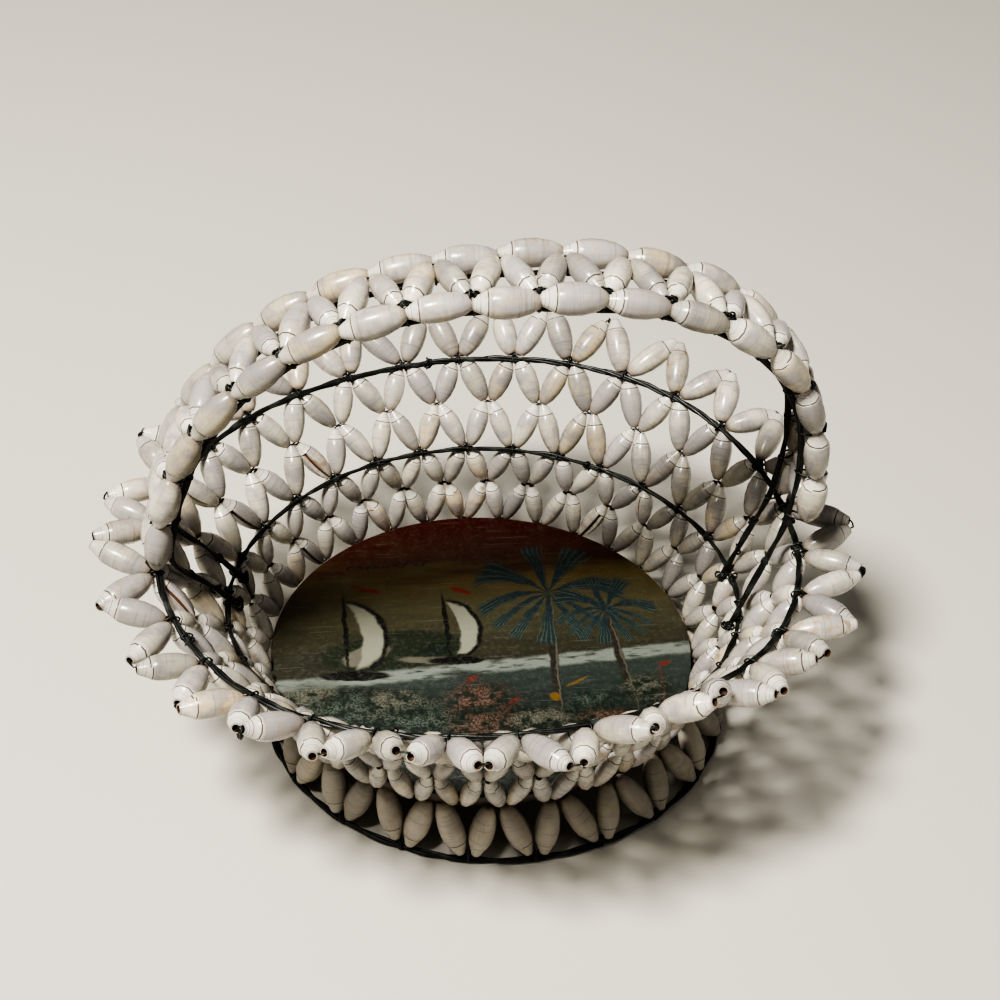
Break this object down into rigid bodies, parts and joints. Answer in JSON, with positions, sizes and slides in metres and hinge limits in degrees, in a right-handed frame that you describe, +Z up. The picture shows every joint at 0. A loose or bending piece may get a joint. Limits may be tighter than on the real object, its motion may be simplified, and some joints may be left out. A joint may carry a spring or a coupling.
{
  "type": "shell basket",
  "caption": "Oval decorative basket of small sea shells wired in zigzag rows over a painted board, with a shell foot and an arched handle.",
  "frame": {"origin": "centre of the bounding box in plan, at the height of the ground", "axes": "+Z up, +X along the basket's long axis and its handle, +Y to the back"},
  "size_m": [0.2184, 0.1835, 0.1658],
  "materials": {
    "shell": "natural sea shell, off-white with pinkish and grey shading, softly glossy",
    "wire": "black annealed iron wire with a faint green-grey sheen",
    "painted_board": "hardboard painted with a seaside scene, satin"
  },
  "bodies": {
    "root": {"floor_board": "painted_board", "foot_ring": "wire", "lower_ring_wire": "wire", "rim_wire": "wire", "handle_wire_front": "wire", "handle_wire_back": "wire", "foot_shells": "shell", "wall_shells_row_1": "shell", "wall_shells_row_2": "shell", "wall_shells_row_3": "shell", "wall_shells_row_4": "shell", "wall_shells_row_5": "shell", "handle_shells_front": "shell", "handle_shells_middle": "shell", "handle_shells_back": "shell"}
  },
  "joints": []
}
